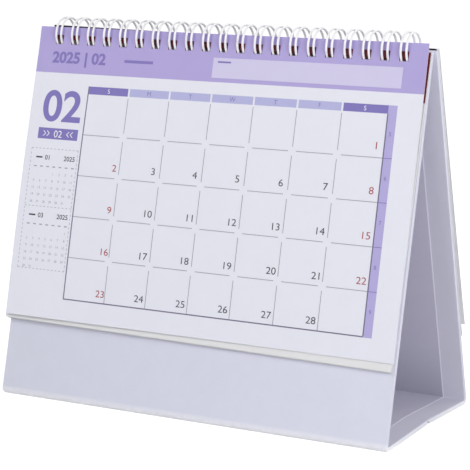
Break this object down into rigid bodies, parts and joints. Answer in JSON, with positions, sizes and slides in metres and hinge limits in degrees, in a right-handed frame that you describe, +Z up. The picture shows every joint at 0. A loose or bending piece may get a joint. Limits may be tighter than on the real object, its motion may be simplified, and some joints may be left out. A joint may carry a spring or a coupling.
{
  "type": "desk calendar",
  "caption": "Tent-style desk calendar: folded board easel with dated leaves hung on a top row of twin wire loops, used leaves turned over behind.",
  "frame": {"origin": "on the table, under the middle of the whole", "axes": "+X along the width, to the right seen from the front; -Y is the front; +Z up"},
  "size_m": [0.192, 0.087, 0.1678],
  "materials": {
    "board": "matt white paper wrapped over grey board",
    "lining": "matt white lining paper",
    "wire": "white nylon-coated steel wire, satin",
    "leaf": "matt coated card stock, printed in flat colours"
  },
  "bodies": {
    "easel": {"easel_stand": "board", "easel_lining": "lining", "wire_binding": "wire", "leaf_pile": "leaf", "turned_leaf_inner": "leaf", "turned_leaf_outer": "leaf"},
    "front_leaf": {"front_leaf": "leaf"}
  },
  "joints": [
    {"name": "front_leaf_turn", "type": "hinge", "parent": "easel", "child": "front_leaf", "pos_m": [0, -0.00145, 0.15977], "axis": [-1, 0, 0], "range_deg": [0, 150]}
  ]
}
